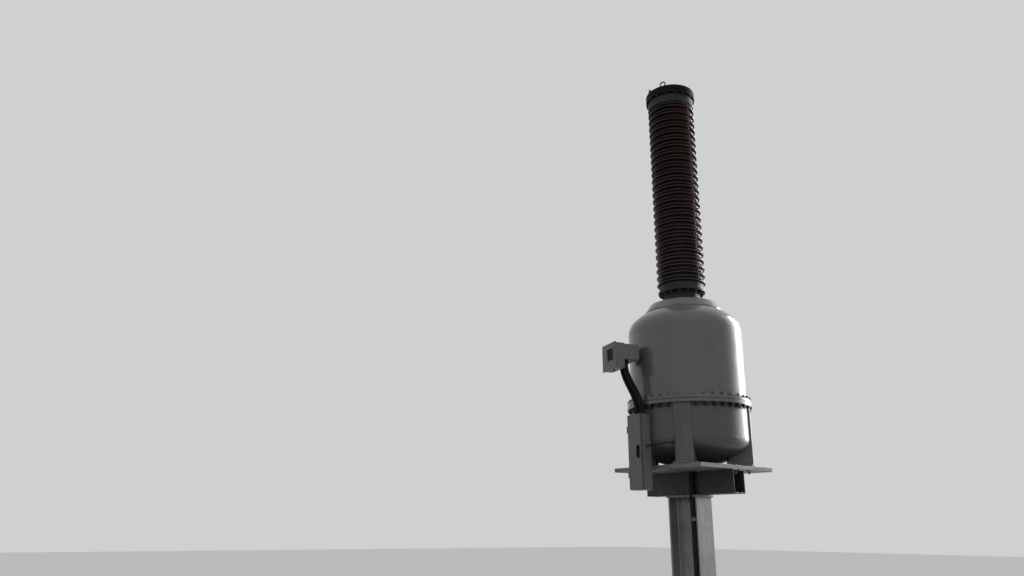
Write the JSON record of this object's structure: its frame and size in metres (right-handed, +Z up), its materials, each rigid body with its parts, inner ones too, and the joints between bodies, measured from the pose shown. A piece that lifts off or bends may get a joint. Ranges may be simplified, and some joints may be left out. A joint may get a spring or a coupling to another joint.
{
  "type": "tank-type voltage transformer on a steel stand",
  "caption": "Domed steel tank on a single-column stand, with a tall brown porcelain bushing on top, a terminal box and a cabinet with a hinged door on its side.",
  "frame": {"origin": "on the base plate's underside at ground level, under the axis of tank and bushing", "axes": "+Z up along the tank axis; -X towards the terminal box and cabinet; -Y is the front of the stand"},
  "size_m": [1.4806, 1.216, 6.4287],
  "materials": {
    "galvanised_steel": "dull galvanised",
    "tank_paint": "gloss grey enamel",
    "box_paint": "satin light grey enamel",
    "cabinet_paint": "satin grey enamel",
    "porcelain": "dark brown glaze",
    "bushing_metal": "cast, weathered",
    "weathered_metal": "dark, weathered",
    "window_glass": "dark glazed window",
    "black_polymer": "matt black",
    "terminal_blocks": "light grey moulded"
  },
  "bodies": {
    "stand_and_tank": {"base_plate": "galvanised_steel", "base_gussets": "galvanised_steel", "column": "galvanised_steel", "column_cap": "galvanised_steel", "head_channel_left": "galvanised_steel", "head_channel_right": "galvanised_steel", "table_plate": "galvanised_steel", "leg_front_left": "galvanised_steel", "leg_front_right": "galvanised_steel", "leg_rear_right": "galvanised_steel", "leg_rear_left": "galvanised_steel", "cabinet_brackets": "galvanised_steel", "conduit_clips": "galvanised_steel", "lifting_eyes": "galvanised_steel", "bottom_dish": "tank_paint", "lower_shell": "tank_paint", "lower_flange": "tank_paint", "upper_flange": "tank_paint", "upper_shell": "tank_paint", "top_dome": "tank_paint", "dome_boss": "tank_paint", "terminal_box_neck": "tank_paint", "terminal_box": "box_paint", "terminal_box_cover": "box_paint", "gas_gauge": "box_paint", "cabinet_body": "cabinet_paint", "cabinet_hinges": "cabinet_paint", "insulator": "porcelain", "bushing_neck": "bushing_metal", "bushing_fitting": "bushing_metal", "top_fitting": "bushing_metal", "gas_valves": "bushing_metal", "top_cap": "weathered_metal", "line_terminal": "weathered_metal", "terminal_box_window": "window_glass", "box_glands": "black_polymer", "cabinet_glands": "black_polymer", "box_conduits": "black_polymer", "column_conduit": "black_polymer", "flange_gasket": "black_polymer", "gas_pipe": "black_polymer", "cabinet_rails": "terminal_blocks"},
    "door": {"cabinet_door": "cabinet_paint", "door_handle": "black_polymer"}
  },
  "joints": [
    {"name": "door_hinge", "type": "hinge", "parent": "stand_and_tank", "child": "door", "pos_m": [-0.66477, 0.21362, 2.3], "axis": [0, 0, -1], "range_deg": [0, 110]}
  ]
}
